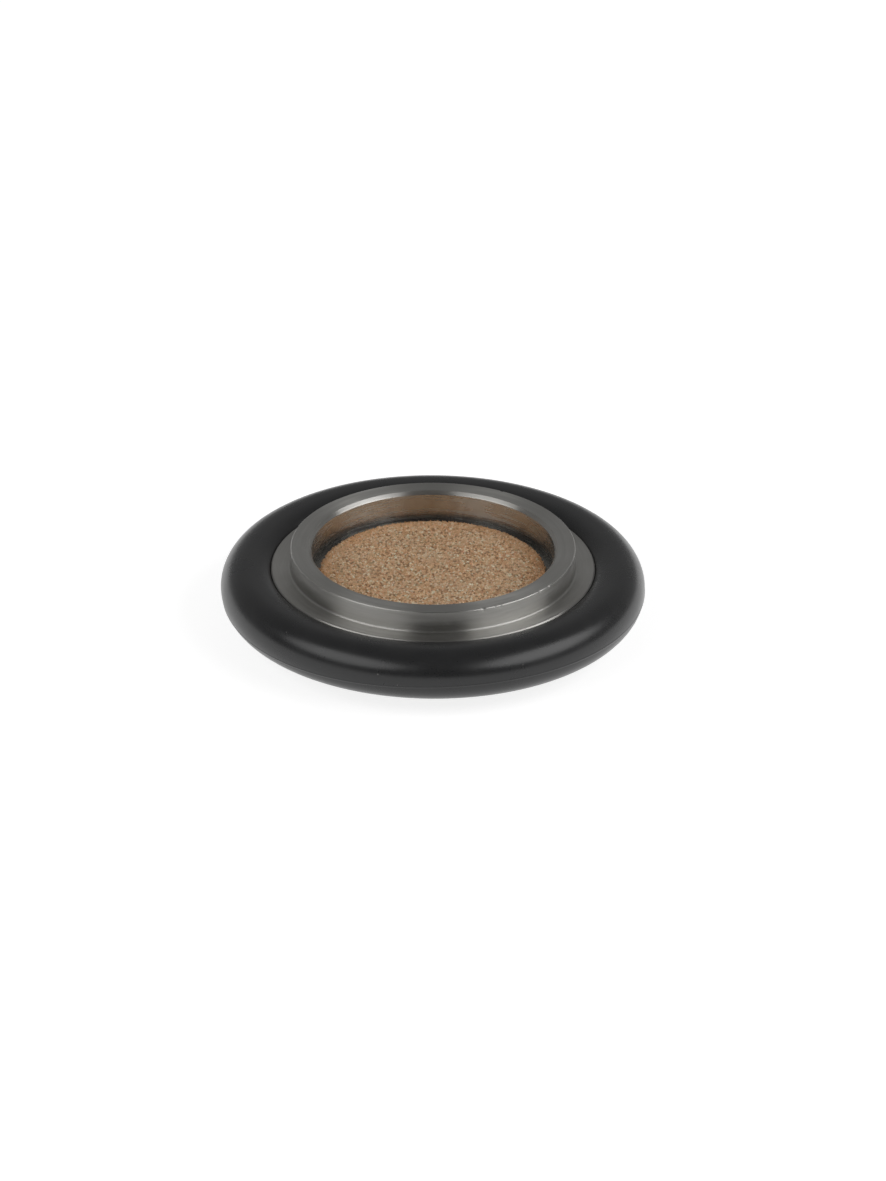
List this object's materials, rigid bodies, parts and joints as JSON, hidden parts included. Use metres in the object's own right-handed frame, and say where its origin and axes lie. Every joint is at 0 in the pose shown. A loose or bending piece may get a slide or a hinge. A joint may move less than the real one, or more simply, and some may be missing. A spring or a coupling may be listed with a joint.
{
  "type": "kf centering ring with sintered filter",
  "caption": "Stainless steel vacuum centering ring with a black rubber seal round its web and a porous bronze filter disc pressed into its bore.",
  "frame": {"origin": "centre of the ring, on its axis and at the middle of its height", "axes": "+Z along the ring's axis, towards one of its two like ends; X and Y across it, free to turn"},
  "size_m": [0.0388, 0.0388, 0.008],
  "materials": {
    "steel": "fine turned, satin",
    "seal": "smooth moulded, semi-matt",
    "filter": "sintered bronze balls, matt and grainy"
  },
  "bodies": {
    "root": {"centering_ring": "steel", "o_ring": "seal", "filter_disc": "filter"}
  },
  "joints": []
}
